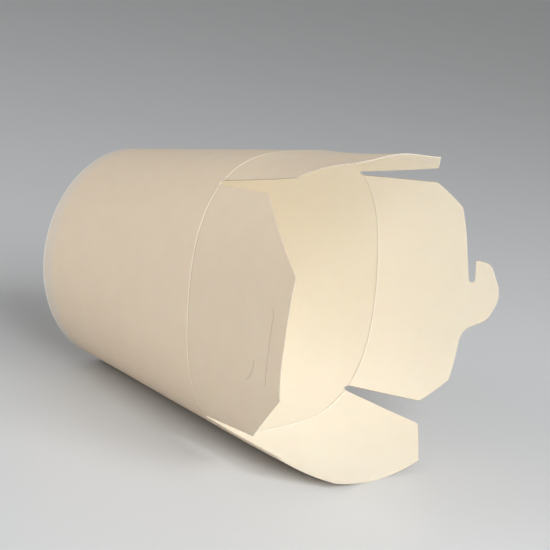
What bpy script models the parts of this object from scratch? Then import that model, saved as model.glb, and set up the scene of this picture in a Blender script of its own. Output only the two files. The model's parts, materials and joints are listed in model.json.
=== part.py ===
"""Round-based paper food tub, lying on its side with its four top flaps open.

Run with blender --background --python part.py, or from the text editor.
Lengths are in metres. The tub is laid out about its own axis, with the base
rim at height zero, and a parent empty then lays it on the floor.
"""

import math

import bmesh
import bpy
from mathutils import Matrix, Vector, geometry

MM = 0.001

# Side wall
BASE_RADIUS = 45.0 * MM
MOUTH_CORNER_RADIUS = 60.9 * MM
MOUTH_SIDE_RADIUS = 55.4 * MM
WALL_HEIGHT = 94.9 * MM
BOARD = 0.4 * MM
CLEARANCE = 0.3 * MM
SCORE_GAP = 0.3 * MM
NOTCH_RADIUS = 1.25 * MM

# The tongue and slotted flaps take a little more of the mouth than the dust flaps
NOTCH_SHIFT = math.radians(2.6)

# Glued lap of the side seam, its inner edge running down from a notch
LAP_WIDTH = 9.0 * MM
LAP_EASE = 7.0 * MM

# Base
DISC_HEIGHT = 8.0 * MM
HEM_EDGE_RADIUS = 0.45 * MM
DISC_BEND_RADIUS = 0.9 * MM

# Flaps with straight ends that fold in first
DUST_SIDE = 37.4 * MM
DUST_SIDE_HALF_WIDTH = 42.9 * MM
DUST_LENGTH = 51.3 * MM
DUST_END_HALF_WIDTH = 25.7 * MM

# Flap that takes the tongue
SLOTTED_SIDE = 27.6 * MM
SLOTTED_SIDE_HALF_WIDTH = 48.2 * MM
SLOTTED_LENGTH = 58.0 * MM
SLOTTED_END_HALF_WIDTH = 22.2 * MM
SLOTTED_END_OFFSET = 1.0 * MM
SLOTTED_END_SKEW = math.radians(6.7)
SLIT_FROM_END = 8.2 * MM
SLIT_LENGTH = 28.4 * MM
SLIT_OFFSET = 5.2 * MM
SLIT_WIDTH = 0.5 * MM
SLIT_NICK = 1.3 * MM
RELIEF_CUT_INSET = 8.0 * MM
RELIEF_CUT_DROP = 8.9 * MM
RELIEF_CUT_RADIUS = 10.0 * MM
RELIEF_CUT_TURNS = [math.radians(turn) for turn in (2.0, 17.0, 32.0, 47.0, 60.0)]

# Flap that carries the tongue
TONGUE_SIDE = 31.0 * MM
TONGUE_SIDE_HALF_WIDTH = 45.8 * MM
TONGUE_SHOULDER = 39.2 * MM
TONGUE_SHOULDER_HALF_WIDTH = 35.4 * MM
TONGUE_SHOULDER_CROWN = 1.6 * MM
TONGUE_HEIGHT = 15.3 * MM
TONGUE_HALF_WIDTH = 14.2 * MM
TONGUE_OFFSET = 0.6 * MM
TONGUE_NECK_FLARE = 2.0 * MM
TONGUE_NECK_RISE = 0.9 * MM
TONGUE_NECK_RADIUS = 2.6 * MM
TONGUE_PEAK = 0.7 * MM
TONGUE_PEAK_OFFSET = 2.6 * MM
TONGUE_PEAK_RADIUS = 12.0 * MM
TONGUE_PLAIN_CORNER_RADIUS = 8.0 * MM
TONGUE_PLAIN_CORNER_SETBACK = 4.2 * MM
TONGUE_PLAIN_CORNER_DROP = 3.0 * MM
TONGUE_HOOK_CORNER_RADIUS = 5.5 * MM
TONGUE_HOOK_CORNER_DROP = 2.0 * MM
HOOK_SLOT_DEPTH = 9.4 * MM
HOOK_SLOT_WIDTH = 3.2 * MM
HOOK_SLOT_RISE = 0.3 * MM
HOOK_SLOT_RADIUS = 1.44 * MM
HOOK_MOUTH_SETBACK = 1.5 * MM
HOOK_MOUTH_RADIUS = 0.5 * MM
HOOK_TIP_RADIUS = 1.0 * MM

# How each flap springs beyond its score: outward lean, how fast it gains
# squareness over the spring length, a hollow along its rise, and how far its
# middle and its sides stand out beyond what lies between them
SPRING_LENGTH = 50.0 * MM
DUST_LOWER_SPRING = (math.radians(0.7), -0.24, -1.5 * MM, 0.3 * MM)
DUST_UPPER_SPRING = (math.radians(-1.7), 0.71, 2.5 * MM, 1.35 * MM)
TONGUE_SPRING = (math.radians(3.0), 0.3, 0.0, 0.0)
SLOTTED_SPRING = (math.radians(1.4), -0.46, 0.7 * MM, -0.6 * MM)

FLAP_CORNER_RADIUS = 1.6 * MM

# Fineness of the mesh
ROUND_STEP = math.radians(22.5)
COLUMNS_PER_SIDE = 26
COLUMN_SPACING = 0.006
LAP_FACE_SPACING = 0.0012
WALL_RINGS = (0.96, 0.78, 0.56, 0.34, 0.14, 0.05)
NOTCH_COLUMNS = (0.0, 0.35, 0.7, 0.92, 1.0)
HEM_EDGE_SHARE = 0.3
BEND_STEPS = 3
PANEL_GRID = 4.6 * MM
PANEL_EDGE_STEP = 3.68 * MM
PANEL_EDGE_MARGIN = 1.61 * MM
WELD = 1e-9
STRAIGHT = math.radians(176.0)

# Search for the resting turn about the tub's axis
REST_MIDDLE = math.radians(45.0)
REST_STEP = math.radians(0.1)
REST_STEPS = 120

MOUTH_MEAN_RADIUS = (MOUTH_CORNER_RADIUS + MOUTH_SIDE_RADIUS) / 2.0
MOUTH_SQUARENESS = (MOUTH_CORNER_RADIUS - MOUTH_SIDE_RADIUS) / 2.0
WALL_LEAN = math.atan2(MOUTH_MEAN_RADIUS - BASE_RADIUS, WALL_HEIGHT)
DUST_HALF_SPAN = math.pi / 4.0 - NOTCH_SHIFT
MAIN_HALF_SPAN = math.pi / 4.0 + NOTCH_SHIFT
NOTCH_ANGLES = (NOTCH_SHIFT, math.pi / 2.0 - NOTCH_SHIFT,
                math.pi + NOTCH_SHIFT, math.pi * 1.5 - NOTCH_SHIFT)
LAP_EDGE_ANGLE = NOTCH_ANGLES[1]

WHITE_BOARD = (0.905, 0.880, 0.835, 1.0)
WHITE_BOARD_DISC = (0.890, 0.872, 0.835, 1.0)


def squareness(angle):
    """1 at the mouth's four corners, which stand at the notches, -1 between."""
    return math.cos(4.0 * (angle - NOTCH_SHIFT * math.cos(2.0 * angle)))


def form_radius(angle, height):
    """Outer radius of the loft from the round base to the squared mouth."""
    mouth = MOUTH_MEAN_RADIUS + MOUTH_SQUARENESS * squareness(angle)
    return BASE_RADIUS + (mouth - BASE_RADIUS) * height / WALL_HEIGHT


def form_point(angle, height, inset):
    """Point on the loft, set in towards the tub's axis by inset."""
    radius = form_radius(angle, height) - inset
    return Vector((radius * math.cos(angle), radius * math.sin(angle), height))


def clear_scene():
    """Remove whatever objects the file holds."""
    for obj in list(bpy.data.objects):
        bpy.data.objects.remove(obj, do_unlink=True)


def board_material(name, colour, roughness):
    """Coated paperboard as a plain Principled material."""
    material = bpy.data.materials.new(name)
    material.use_nodes = True
    shader = material.node_tree.nodes["Principled BSDF"]
    shader.inputs["Base Color"].default_value = colour
    shader.inputs["Roughness"].default_value = roughness
    shader.inputs["Metallic"].default_value = 0.0
    material.diffuse_color = colour
    return material


def new_object(name, mesh_builder, material, parent, frame=None):
    """Wrap a bmesh as a named object placed by its own matrix."""
    bmesh.ops.recalc_face_normals(mesh_builder, faces=mesh_builder.faces)
    mesh = bpy.data.meshes.new(name)
    mesh_builder.to_mesh(mesh)
    mesh_builder.free()
    if frame is not None:
        mesh.transform(frame.inverted())
    obj = bpy.data.objects.new(name, mesh)
    bpy.context.scene.collection.objects.link(obj)
    obj.data.materials.append(material)
    obj.parent = parent
    if frame is not None:
        obj.matrix_local = frame
    return obj


def add_ring(builder, points):
    """Add one closed ring of vertices."""
    return [builder.verts.new(point) for point in points]


def bridge(builder, first, second):
    """Join two rings of the same length with quads."""
    count = len(first)
    for i in range(count):
        j = (i + 1) % count
        builder.faces.new((first[i], first[j], second[j], second[i]))


# Lap of the side seam

def lap_angles():
    """Angles where the outer layer ends and where the board is single again."""
    outer_edge = LAP_EDGE_ANGLE - LAP_WIDTH / MOUTH_MEAN_RADIUS
    eased = outer_edge - LAP_EASE / MOUTH_MEAN_RADIUS
    return outer_edge, eased


def layer_shift(angle, edge_side):
    """Inset of the inner layer, easing from the lap back to the single wall."""
    outer_edge, eased = lap_angles()
    if eased < angle < outer_edge or (angle == outer_edge and edge_side < 0):
        share = (angle - eased) / (outer_edge - eased)
        return BOARD * share * share * (3.0 - 2.0 * share)
    return 0.0


def outer_inset(angle, edge_side):
    """Inset of the wall's outside face."""
    return layer_shift(angle, edge_side)


def inner_inset(angle, edge_side):
    """Inset of the wall's inside face, two boards deep within the lap."""
    outer_edge, _ = lap_angles()
    in_lap = outer_edge < angle < LAP_EDGE_ANGLE
    at_inner_edge = angle == LAP_EDGE_ANGLE and edge_side < 0
    at_outer_edge = angle == outer_edge
    if in_lap or at_inner_edge or at_outer_edge:
        return 2.0 * BOARD
    return BOARD + layer_shift(angle, edge_side)


def wall_columns():
    """Angles of the wall's columns, closer at the notches and the lap."""
    notch = NOTCH_RADIUS / MOUTH_CORNER_RADIUS
    near_notch = [share * notch for share in NOTCH_COLUMNS]
    angles = set()
    for side in range(4):
        corner = NOTCH_ANGLES[side]
        span = (NOTCH_ANGLES[(side + 1) % 4] - corner) % (2.0 * math.pi)
        for step in near_notch:
            angles.add(round(corner + step, 6))
            angles.add(round(corner - step, 6))
        for i in range(1, COLUMNS_PER_SIDE):
            angles.add(round((corner + i * span / COLUMNS_PER_SIDE) % (2.0 * math.pi), 6))
    outer_edge, eased = lap_angles()
    special = [LAP_EDGE_ANGLE, outer_edge, eased]
    kept = [a for a in sorted(angles) if all(abs(a - s) > COLUMN_SPACING for s in special)]
    columns = [(a, 1) for a in kept] + [(eased, 1)]
    for edge in (LAP_EDGE_ANGLE, outer_edge):
        columns.append((edge, -1))
        columns.append((edge, 1))
    return sorted(columns)


def column_angle(column):
    """Angle of a column; the two faces of a lap edge stand a hair apart."""
    angle, edge_side = column
    outer_edge, _ = lap_angles()
    if angle in (LAP_EDGE_ANGLE, outer_edge):
        return angle + edge_side * LAP_FACE_SPACING / 2.0
    return angle


def notch_dip(angle):
    """How far the wall's top edge dips at the rounded root of a notch."""
    across = min(abs(angle - notch) for notch in NOTCH_ANGLES) * MOUTH_CORNER_RADIUS
    if across >= NOTCH_RADIUS:
        return 0.0
    return math.sqrt(NOTCH_RADIUS ** 2 - across ** 2)


def hem_width():
    """Depth of the rolled hem, from the wall's outside to the leg's inside."""
    return 4.0 * BOARD + 2.0 * CLEARANCE


def build_side_wall(material, parent):
    """Wrapped wall with a lapped seam, its foot rolled in round the skirt."""
    columns = wall_columns()
    top = WALL_HEIGHT - SCORE_GAP / 2.0
    foot = HEM_EDGE_RADIUS
    edge = foot * HEM_EDGE_SHARE
    leg_top = DISC_HEIGHT - CLEARANCE - DISC_BEND_RADIUS
    builder = bmesh.new()
    rings = []

    def ring(height, inset_of, dip=False):
        points = []
        for column in columns:
            drop = notch_dip(column[0]) if dip else 0.0
            points.append(form_point(column_angle(column), height - drop, inset_of(column)))
        rings.append(add_ring(builder, points))

    def outside(extra=0.0):
        return lambda column: outer_inset(*column) + extra

    def inside(extra=0.0):
        return lambda column: inner_inset(*column) + extra

    def fixed(inset):
        return lambda column: inset

    width = hem_width()
    ring(top, outside(), dip=True)
    for share in WALL_RINGS:
        ring(WALL_HEIGHT * share, outside())
    ring(foot, outside())
    ring(edge, outside(edge))
    ring(0.0, outside(foot))
    ring(0.0, fixed(width - foot))
    ring(edge, fixed(width - edge))
    ring(foot, fixed(width))
    ring(leg_top, fixed(width))
    ring(leg_top, fixed(width - BOARD))
    ring(BOARD, fixed(width - BOARD))
    ring(BOARD, inside())
    for share in reversed(WALL_RINGS):
        ring(WALL_HEIGHT * share, inside())
    ring(top, inside(), dip=True)
    for i, current in enumerate(rings):
        bridge(builder, current, rings[(i + 1) % len(rings)])
    return new_object("side_wall", builder, material, parent)


def build_bottom_disc(material, parent):
    """Recessed bottom: a flat disc with a skirt turned down inside the hem."""
    outer = 2.0 * BOARD + CLEARANCE
    skirt_foot = BOARD + CLEARANCE
    top = DISC_HEIGHT + BOARD
    bend = DISC_BEND_RADIUS
    inner_bend = bend - BOARD
    count = 4 * COLUMNS_PER_SIDE
    angles = [2.0 * math.pi * i / count for i in range(count)]
    profile = [(outer, skirt_foot), (outer, top - bend)]
    for i in range(1, BEND_STEPS + 1):
        turn = i * math.pi / 2.0 / BEND_STEPS
        profile.append((outer + bend * (1.0 - math.cos(turn)),
                        top - bend + bend * math.sin(turn)))
    builder = bmesh.new()
    outer_rings = [add_ring(builder, [form_point(a, h, inset) for a in angles])
                   for inset, h in profile]
    profile = [(outer + BOARD, skirt_foot), (outer + BOARD, DISC_HEIGHT - inner_bend)]
    for i in range(1, BEND_STEPS + 1):
        turn = i * math.pi / 2.0 / BEND_STEPS
        profile.append((outer + BOARD + inner_bend * (1.0 - math.cos(turn)),
                        DISC_HEIGHT - inner_bend + inner_bend * math.sin(turn)))
    inner_rings = [add_ring(builder, [form_point(a, h, inset) for a in angles])
                   for inset, h in profile]
    for rings in (outer_rings, inner_rings):
        for first, second in zip(rings, rings[1:]):
            bridge(builder, first, second)
        builder.faces.new(rings[-1])
    bridge(builder, outer_rings[0], inner_rings[0])
    return new_object("bottom_disc", builder, material, parent)


# Die-cut outlines, x across the flap and y out from its score

def rounded(corners):
    """Replace each (x, y, radius) corner with an arc of that radius."""
    path = []
    count = len(corners)
    for i in range(count):
        before = Vector(corners[i - 1][:2])
        corner = Vector(corners[i][:2])
        after = Vector(corners[(i + 1) % count][:2])
        radius = corners[i][2]
        back = (before - corner).normalized()
        ahead = (after - corner).normalized()
        opening = back.angle(ahead)
        if radius <= 0.0 or opening > STRAIGHT:
            path.append(corner)
            continue
        reach = radius / math.tan(opening / 2.0)
        reach = min(reach, 0.49 * (before - corner).length, 0.49 * (after - corner).length)
        radius = reach * math.tan(opening / 2.0)
        centre = corner + (back + ahead).normalized() * radius / math.sin(opening / 2.0)
        start = corner + back * reach - centre
        sweep = start.angle_signed(corner + ahead * reach - centre)
        steps = max(1, math.ceil(abs(sweep) / ROUND_STEP))
        for k in range(steps + 1):
            path.append(centre + Matrix.Rotation(-sweep * k / steps, 2) @ start)
    return path


def root_half_width(half_span):
    """Half the length of a flap's score between the rounded notch roots."""
    return MOUTH_MEAN_RADIUS * half_span - NOTCH_RADIUS


def chamfered_outline(half_span, side, side_half, length, end_half, offset=0.0, skew=0.0):
    """Flap with straight sides, chamfered corners and a straight end."""
    root = root_half_width(half_span)
    corner = FLAP_CORNER_RADIUS
    start = SCORE_GAP / 2.0
    left = offset - end_half
    right = offset + end_half
    return rounded([(-root, start, 0.0), (root, start, 0.0), (side_half, side, corner),
                    (right, length - right * math.tan(skew), corner),
                    (left, length - left * math.tan(skew), corner),
                    (-side_half, side, corner)])


def skewed(point):
    """Slope a point of the lock slit with the slotted flap's end."""
    x, y = point
    return (x, y - x * math.tan(SLOTTED_END_SKEW))


def slit_outline():
    """Lock slit of the slotted flap, turned down a little at both ends."""
    y = SLOTTED_LENGTH - SLIT_FROM_END
    half = SLIT_LENGTH / 2.0
    nick = SLIT_NICK
    centre = [(-half - 0.6 * nick, y - nick), (-half, y - 0.2 * nick), (-half + nick, y),
              (half - nick, y), (half, y - 0.2 * nick), (half + 0.6 * nick, y - nick)]
    return stroke([skewed((x + SLIT_OFFSET, y)) for x, y in centre], SLIT_WIDTH)


def relief_outline():
    """Short curved cut below the outer end of the lock slit."""
    radius = RELIEF_CUT_RADIUS
    x = SLIT_OFFSET + SLIT_LENGTH / 2.0 - RELIEF_CUT_INSET
    y = SLOTTED_LENGTH - SLIT_FROM_END - RELIEF_CUT_DROP
    return stroke([(x + radius * math.sin(turn), y - radius * (1.0 - math.cos(turn)))
                   for turn in RELIEF_CUT_TURNS], SLIT_WIDTH)


def stroke(centre, width):
    """Closed outline of a cut of the given width along a centre line."""
    points = [Vector(p) for p in centre]
    left = []
    right = []
    for i, point in enumerate(points):
        ahead = points[min(i + 1, len(points) - 1)] - points[max(i - 1, 0)]
        across = Vector((-ahead.y, ahead.x)).normalized() * width / 2.0
        left.append(point + across)
        right.append(point - across)
    return right + left[::-1]


def tongue_outline():
    """Flap whose end carries a rounded tongue, hooked on one side."""
    root = root_half_width(MAIN_HALF_SPAN)
    start = SCORE_GAP / 2.0
    shoulder = TONGUE_SHOULDER
    crown = shoulder + TONGUE_SHOULDER_CROWN
    left = TONGUE_OFFSET - TONGUE_HALF_WIDTH
    right = TONGUE_OFFSET + TONGUE_HALF_WIDTH
    slot_end = right - HOOK_SLOT_DEPTH
    hook = crown + HOOK_SLOT_WIDTH
    top = shoulder + TONGUE_HEIGHT
    return rounded([(-root, start, 0.0), (root, start, 0.0),
                    (TONGUE_SIDE_HALF_WIDTH, TONGUE_SIDE, FLAP_CORNER_RADIUS),
                    (TONGUE_SHOULDER_HALF_WIDTH, shoulder, FLAP_CORNER_RADIUS),
                    (right - HOOK_MOUTH_SETBACK, crown, HOOK_MOUTH_RADIUS),
                    (slot_end, crown + HOOK_SLOT_RISE, HOOK_SLOT_RADIUS),
                    (slot_end, hook, HOOK_SLOT_RADIUS),
                    (right, hook, HOOK_TIP_RADIUS),
                    (right, top - TONGUE_HOOK_CORNER_DROP, TONGUE_HOOK_CORNER_RADIUS),
                    (TONGUE_OFFSET + TONGUE_PEAK_OFFSET, top + TONGUE_PEAK,
                     TONGUE_PEAK_RADIUS),
                    (left + TONGUE_PLAIN_CORNER_SETBACK, top - TONGUE_PLAIN_CORNER_DROP,
                     TONGUE_PLAIN_CORNER_RADIUS),
                    (left - TONGUE_NECK_FLARE, shoulder + TONGUE_NECK_RISE,
                     TONGUE_NECK_RADIUS),
                    (-TONGUE_SHOULDER_HALF_WIDTH, shoulder, FLAP_CORNER_RADIUS),
                    (-TONGUE_SIDE_HALF_WIDTH, TONGUE_SIDE, FLAP_CORNER_RADIUS)])


def inside_path(point, path):
    """Whether a 2D point lies inside a closed path."""
    inside = False
    previous = path[-1]
    for current in path:
        if (current.y > point.y) != (previous.y > point.y):
            share = (point.y - current.y) / (previous.y - current.y)
            if point.x < current.x + share * (previous.x - current.x):
                inside = not inside
        previous = current
    return inside


def path_distance(point, path):
    """Shortest distance from a 2D point to a closed path."""
    best = math.inf
    previous = path[-1]
    for current in path:
        near, share = geometry.intersect_point_line(point, previous, current)
        near = previous.lerp(current, min(1.0, max(0.0, share)))
        best = min(best, (point - near).length)
        previous = current
    return best


def subdivided(path, step):
    """Split long edges so that the panel can bend."""
    result = []
    for i, point in enumerate(path):
        after = path[(i + 1) % len(path)]
        parts = max(1, math.ceil((after - point).length / step))
        for k in range(parts):
            result.append(point.lerp(after, k / parts))
    return result


def triangulate_panel(outline, holes):
    """Triangles of a die-cut panel with inner points for bending."""
    loops = [subdivided(outline, PANEL_EDGE_STEP)] + [list(hole) for hole in holes]
    coords = [point for loop in loops for point in loop]
    edges = []
    start = 0
    for loop in loops:
        count = len(loop)
        edges += [(start + i, start + (i + 1) % count) for i in range(count)]
        start += count
    low_x = min(p.x for p in outline)
    high_x = max(p.x for p in outline)
    high_y = max(p.y for p in outline)
    across = math.ceil((high_x - low_x) / PANEL_GRID)
    along = math.ceil(high_y / PANEL_GRID)
    for i in range(across + 1):
        for k in range(along + 1):
            point = Vector((low_x + (high_x - low_x) * i / across, high_y * k / along))
            if not inside_path(point, loops[0]):
                continue
            if any(inside_path(point, loop) for loop in loops[1:]):
                continue
            if min(path_distance(point, loop) for loop in loops) > PANEL_EDGE_MARGIN:
                coords.append(point)
    cut = geometry.delaunay_2d_cdt(coords, edges, [], 1, WELD)
    triangles = []
    for face in cut[2]:
        middle = sum((cut[0][i] for i in face), Vector((0.0, 0.0))) / len(face)
        if inside_path(middle, loops[0]):
            if not any(inside_path(middle, loop) for loop in loops[1:]):
                triangles.append(face)
    return cut[0], triangles


def flap_frame(centre, half_span):
    """Matrix on the straight line between two notches, folding about local x."""
    radial = Vector((math.cos(centre), math.sin(centre), 0.0))
    axis = Vector((math.sin(centre), -math.cos(centre), 0.0))
    up = Vector((0.0, 0.0, 1.0))
    reach = (MOUTH_CORNER_RADIUS - BOARD / 2.0) * math.cos(half_span)
    origin = radial * reach + up * WALL_HEIGHT
    turn = Matrix((axis, up.cross(axis), up)).transposed()
    return Matrix.Translation(origin) @ turn.to_4x4()


def wrap(point, centre, inset, spring):
    """Bend a point of the flat panel round the mouth, sprung beyond its score."""
    lean, crown, hollow, fold = spring
    rise = point.y * math.cos(WALL_LEAN)
    mean = MOUTH_MEAN_RADIUS + point.y * math.sin(WALL_LEAN)
    angle = centre + point.x / mean
    share = rise / SPRING_LENGTH
    radius = MOUTH_MEAN_RADIUS + rise * (math.tan(WALL_LEAN) + math.tan(lean)) - inset
    radius += MOUTH_SQUARENESS * (1.0 + crown * share) * squareness(angle)
    radius += hollow * share * (share - 1.0)
    radius += fold * share * math.cos(8.0 * (angle - centre))
    return Vector((radius * math.cos(angle), radius * math.sin(angle), WALL_HEIGHT + rise))


def build_flap(name, centre, half_span, spring, outline, holes, material, parent):
    """Die-cut flap of one board, bent to the form, hinged on its fold line."""
    coords, triangles = triangulate_panel(outline, holes)
    builder = bmesh.new()
    outer = [builder.verts.new(wrap(p, centre, 0.0, spring)) for p in coords]
    inner = [builder.verts.new(wrap(p, centre, BOARD, spring)) for p in coords]
    used = {}
    for a, b, c in triangles:
        builder.faces.new((outer[a], outer[b], outer[c]))
        builder.faces.new((inner[c], inner[b], inner[a]))
        for edge in ((a, b), (b, c), (c, a)):
            used[edge] = used.get(edge, 0) + 1
    for a, b in used:
        if (b, a) not in used:
            builder.faces.new((outer[b], outer[a], inner[a], inner[b]))
    loose = [v for v in builder.verts if not v.link_faces]
    bmesh.ops.delete(builder, geom=loose, context="VERTS")
    return new_object(name, builder, material, parent, flap_frame(centre, half_span))


# Rest on the floor

def volume_and_moment(obj):
    """Volume of a closed body and its volume times centre, in the tub's frame."""
    volume = 0.0
    moment = Vector((0.0, 0.0, 0.0))
    obj.data.calc_loop_triangles()
    points = [obj.matrix_local @ v.co for v in obj.data.vertices]
    for triangle in obj.data.loop_triangles:
        a, b, c = (points[i] for i in triangle.vertices)
        part = a.dot(b.cross(c)) / 6.0
        volume += part
        moment += (a + b + c) * part / 4.0
    return volume, moment


def resting_turn(objects, lower_flap):
    """Turn about the tub's axis, and lean, at which its weight lies lowest."""
    sums = [volume_and_moment(obj) for obj in objects]
    weight = sum((m for _, m in sums), Vector((0.0, 0.0, 0.0))) / sum(v for v, _ in sums)
    tips = [lower_flap.matrix_local @ v.co for v in lower_flap.data.vertices]
    best = None
    for step in range(-REST_STEPS, REST_STEPS + 1):
        turn = REST_MIDDLE + step * REST_STEP
        low = Vector((math.cos(turn), math.sin(turn), 0.0))
        lean = max(math.atan2(tip.dot(low) - BASE_RADIUS, tip.z) for tip in tips)
        floor = low * math.cos(lean) - Vector((0.0, 0.0, math.sin(lean)))
        height = floor.dot(low * BASE_RADIUS) - floor.dot(weight)
        if best is None or height < best[0]:
            best = (height, turn, lean)
    return best[1], best[2]


def lay_down(frame, objects, lower_flap):
    """Lay the tub where it rests, on its base rim and its lower flap."""
    bpy.context.view_layer.update()
    low, side_lean = resting_turn(objects, lower_flap)
    axis = Vector((math.cos(side_lean), 0.0, math.sin(side_lean)))
    down = Vector((math.sin(side_lean), 0.0, -math.cos(side_lean)))
    side = axis.cross(down)
    local_x = down * math.cos(low) - side * math.sin(low)
    local_y = down * math.sin(low) + side * math.cos(low)
    turn = Matrix((local_x, local_y, axis)).transposed()
    frame.matrix_world = turn.to_4x4()
    bpy.context.view_layer.update()
    corners = [obj.matrix_world @ v.co for obj in objects for v in obj.data.vertices]
    low_corner = [min(p[i] for p in corners) for i in range(3)]
    high_corner = [max(p[i] for p in corners) for i in range(3)]
    frame.location = Vector((-(low_corner[0] + high_corner[0]) / 2.0,
                             -(low_corner[1] + high_corner[1]) / 2.0,
                             -low_corner[2]))


def build_tub():
    """Build every piece and lay the tub on its side."""
    clear_scene()
    frame = bpy.data.objects.new("tub_frame", None)
    bpy.context.scene.collection.objects.link(frame)
    wall_board = board_material("wall_board", WHITE_BOARD, 0.42)
    disc_board = board_material("disc_board", WHITE_BOARD_DISC, 0.5)
    dust = chamfered_outline(DUST_HALF_SPAN, DUST_SIDE, DUST_SIDE_HALF_WIDTH,
                             DUST_LENGTH, DUST_END_HALF_WIDTH)
    slotted = chamfered_outline(MAIN_HALF_SPAN, SLOTTED_SIDE, SLOTTED_SIDE_HALF_WIDTH,
                                SLOTTED_LENGTH, SLOTTED_END_HALF_WIDTH,
                                SLOTTED_END_OFFSET, SLOTTED_END_SKEW)
    cuts = [slit_outline(), relief_outline()]
    flaps = [("flap_dust_lower", 45.0, DUST_HALF_SPAN, DUST_LOWER_SPRING, dust, []),
             ("flap_tongue", 135.0, MAIN_HALF_SPAN, TONGUE_SPRING, tongue_outline(), []),
             ("flap_dust_upper", 225.0, DUST_HALF_SPAN, DUST_UPPER_SPRING, dust, []),
             ("flap_slotted", 315.0, MAIN_HALF_SPAN, SLOTTED_SPRING, slotted, cuts)]
    objects = [build_side_wall(wall_board, frame), build_bottom_disc(disc_board, frame)]
    for name, centre, half_span, spring, outline, holes in flaps:
        material = board_material(name + "_board", WHITE_BOARD, 0.42)
        objects.append(build_flap(name, math.radians(centre), half_span, spring,
                                  outline, holes, material, frame))
    lay_down(frame, objects, objects[2])


build_tub()
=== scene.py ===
"""Looks of the paper food tub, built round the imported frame.

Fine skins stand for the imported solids: the wrapped wall, the recessed bottom
and the four die-cut flaps, all of coated board with raw cut edges. Lengths are
in metres and angles in radians. The skins are worked out in the tub's own
frame, with its axis along Z and its base rim at height zero, and TubPlace takes
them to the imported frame.
"""

import json
import logging
import math
from abc import ABC, abstractmethod
from dataclasses import dataclass, field
from enum import Enum

import bmesh
import bpy
from mathutils import Matrix, Vector, geometry, noise


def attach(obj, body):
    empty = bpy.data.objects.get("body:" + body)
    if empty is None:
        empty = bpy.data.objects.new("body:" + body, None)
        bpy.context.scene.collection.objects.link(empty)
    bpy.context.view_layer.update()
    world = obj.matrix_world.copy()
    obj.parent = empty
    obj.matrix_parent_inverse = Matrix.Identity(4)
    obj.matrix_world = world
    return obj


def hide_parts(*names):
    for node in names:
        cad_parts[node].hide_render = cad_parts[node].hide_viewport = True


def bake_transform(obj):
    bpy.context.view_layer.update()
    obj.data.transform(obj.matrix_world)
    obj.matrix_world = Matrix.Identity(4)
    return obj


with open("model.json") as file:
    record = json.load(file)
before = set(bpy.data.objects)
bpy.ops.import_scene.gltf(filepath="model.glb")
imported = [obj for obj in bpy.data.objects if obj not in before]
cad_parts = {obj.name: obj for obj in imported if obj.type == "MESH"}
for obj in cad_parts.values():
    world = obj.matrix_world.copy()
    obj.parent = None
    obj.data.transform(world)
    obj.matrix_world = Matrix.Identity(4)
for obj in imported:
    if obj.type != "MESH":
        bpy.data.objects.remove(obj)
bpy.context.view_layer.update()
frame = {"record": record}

LOG = logging.getLogger("paper_food_tub")
BLANK_MAP = "blank"
MM = 0.001
TURN = 2.0 * math.pi

# Where the inside and the bottom disc start on the blank's map, beside the outside
INSIDE_SHEET = 1.0
DISC_SHEET = (2.0, 1.0)

Colour = tuple[float, float, float, float]
Triple = tuple[float, float, float]
Corner = tuple[float, float, float]
Spot = tuple[float, float]
Path = list[Vector]


class BoardFace(Enum):
    """The three kinds of surface that a piece of board shows."""

    OUTSIDE = 0
    INSIDE = 1
    CUT = 2


Finishes = dict[BoardFace, bpy.types.Material]


def millimetres(*values: float) -> tuple[float, ...]:
    """Lengths that are given in millimetres, in metres."""
    return tuple(value * MM for value in values)


def smooth_step(low: float, high: float, value: float) -> float:
    """Ease from 0 at low to 1 at high.

    Args:
        low: Value at which the result leaves 0.
        high: Value at which the result reaches 1.
        value: Value to place between them.

    Returns:
        A share from 0 to 1.
    """
    share = min(1.0, max(0.0, (value - low) / (high - low)))
    return share * share * (3.0 - 2.0 * share)


def quarter_arc(radius: float, steps: int) -> list[Spot]:
    """Quarter circle from an upright line round to a level one.

    Args:
        radius: Its radius.
        steps: How many stretches it has.

    Returns:
        Each point's distance to the upright line and to the level one.
    """
    turns = [i * TURN / 4.0 / steps for i in range(steps + 1)]
    return [(radius * (1.0 - math.cos(t)), radius * (1.0 - math.sin(t))) for t in turns]


def add_object(name: str, data: bpy.types.ID) -> bpy.types.Object:
    """Put a new object in the scene.

    Args:
        name: Its name.
        data: Its mesh, lamp or camera.

    Returns:
        The object.
    """
    obj = bpy.data.objects.new(name, data)
    bpy.context.scene.collection.objects.link(obj)
    return obj


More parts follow.
